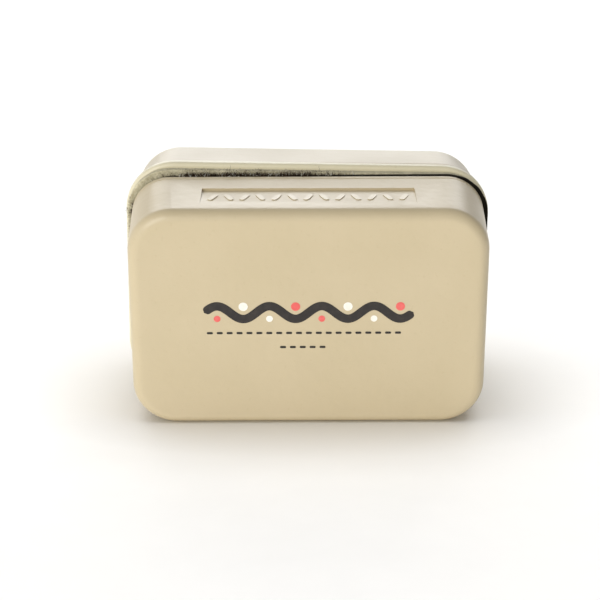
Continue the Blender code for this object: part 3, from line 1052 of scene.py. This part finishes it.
def makeFloor():
    look = sheetLook
    start, steps = look["levelFrom"], look["levelSteps"]
    stops = [look["reach"], *look["backStops"], look["touchY"], *look["frontStops"], start]
    stops += [start + (look["levelTo"] - start) * k / steps for k in range(1, steps + 1)]
    stops += [*look["farStops"], -look["reach"]]
    work = bmesh.new()
    rows = [
        [work.verts.new((side * look["reach"], y, floorHeight(y))) for side in (-1, 1)] for y in stops
    ]
    for first, second in zip(rows, rows[1:]):
        work.faces.new((first[1], first[0], second[0], second[1]))
    mesh = bpy.data.meshes.new("floorSheet")
    work.to_mesh(mesh)
    work.free()
    mesh.shade_smooth()
    item = bpy.data.objects.new("floorSheet", mesh)
    bpy.context.scene.collection.objects.link(item)
    paper = Finish("palePaperPaintedShadow", Roughness=0.9)
    weave = paper.noise(60, 3, 0.6)
    paper.bump(paper.noise(900, 2, 0.5), 0.02 * mm, 0.3)
    white = paper.mix(paper.level(weave, 0.3, 0.7), look["colour"], look["second"])
    # painted shadow: the sheet's colour goes darker towards the object, standing in for the soft shadow
    # round its base
    squashed = paper.where() * look["squash"]
    away = paper.node("ShaderNodeVectorMath", {"operation": "LENGTH"}, {0: squashed}, "Value")
    white = paper.mix(paper.level(away, look["paintedShadowReach"], look["paintedShadowFade"]), look["near"], white)
    mesh.materials.append(paper.done(Base_Color=white))
    return item


lampAim = Vector((0, 0, 30 * mm))
warm, plain = (1.0, 0.985, 0.96), (1.0, 1.0, 1.0)
lamps = {
    "keyBox": {
        "place": (-0.46, -0.66, 0.46), "size": (0.5, 0.45), "power": 3.95, "colour": warm,
        "lights": "pieces",
    },
    "lowFill": {  # stands for light thrown up by the sheet, so the sheet does not block it
        "place": (-0.1, -0.42, -0.36), "size": (0.5, 0.3), "power": 0.9, "colour": warm,
        "lights": "pieces", "through": True,
    },
    "backPanel": {"place": (0.0, 1.6, 0.62), "size": (1.4, 0.7), "power": 8.6, "colour": plain},
    "floorWash": {
        "place": (0.0, 0.25, 1.6), "size": (1.8, 1.6), "power": 21.0, "colour": plain, "lights": "sheet",
    },
}


def makeLamp(name, look, groups):
    lamp = bpy.data.lights.new(name, "AREA")
    lamp.shape = "RECTANGLE"
    lamp.size, lamp.size_y = look["size"]
    lamp.energy = look["power"]
    lamp.color = look["colour"]
    item = bpy.data.objects.new(name, lamp)
    item.location = look["place"]
    item.rotation_euler = (lampAim - item.location).to_track_quat("-Z", "Y").to_euler()
    bpy.context.scene.collection.objects.link(item)
    if "lights" in look:
        lit = bpy.data.collections.new(name + "Lit")
        for thing in groups[look["lights"]]:
            lit.objects.link(thing)
        item.light_linking.receiver_collection = lit
        if look.get("through"):
            item.light_linking.blocker_collection = lit


worldLook = {"horizon": 1.2, "zenith": 0.2, "left": 1.1, "right": 0.72, "dip": 0.9}


def makeWorld():  # a soft grey room, brightest at the horizon and on the left, dimmed in front on the right
    look = worldLook
    world = bpy.data.worlds.new("softRoom")
    bpy.context.scene.world = world
    world.use_nodes = True
    room = Network(world.node_tree)
    way = room.node("ShaderNodeTexCoord", output="Generated")
    across = room.node("ShaderNodeSeparateXYZ", {}, {0: way}, "X")
    depth = room.node("ShaderNodeSeparateXYZ", {}, {0: way}, "Y")
    up = room.node("ShaderNodeSeparateXYZ", {}, {0: way}, "Z")
    dip = room.level(across, 0.5, 0.95) * room.level(depth, 0.2, 0.8, look["dip"], 0)
    height = room.level(up, 0.0, 1.0, look["horizon"], look["zenith"])
    side = room.level(across, -1.0, 1.0, look["left"], look["right"])
    background = room.tree.nodes["Background"]
    room.feed(background.inputs["Strength"], height * side * (1 - dip))
    room.feed(background.inputs["Color"], (1.0, 1.0, 1.0, 1.0))


cameraLook = {
    "elevation": math.radians(21.9), "turn": math.radians(-0.467), "far": 420 * mm, "lens": 94.0,
    "aim": (0, faceY + 27.7 * mm, middleZ), "shift": (-0.013, -0.0337), "sensor": 36.0, "clip": 10 * mm,
}


def makeCamera():
    look = cameraLook
    data = bpy.data.cameras.new("camera")
    data.lens = look["lens"]
    data.sensor_width = look["sensor"]
    data.shift_x, data.shift_y = look["shift"]
    data.clip_start = look["clip"]
    camera = bpy.data.objects.new("camera", data)
    up, turn = look["elevation"], look["turn"]
    back = Vector((math.sin(turn) * math.cos(up), -math.cos(turn) * math.cos(up), math.sin(up)))
    camera.location = Vector(look["aim"]) + back * look["far"]
    camera.rotation_euler = (-back).to_track_quat("-Z", "Y").to_euler()
    bpy.context.scene.collection.objects.link(camera)
    bpy.context.scene.camera = camera


pieces = [item for item in bpy.context.scene.objects if item.type == "MESH"]
lampGroups = {"pieces": pieces, "sheet": [makeFloor()]}
makeWorld()
for name, look in lamps.items():
    makeLamp(name, look, lampGroups)
makeCamera()
bpy.context.scene.view_settings.view_transform = "Standard"
print("stage")
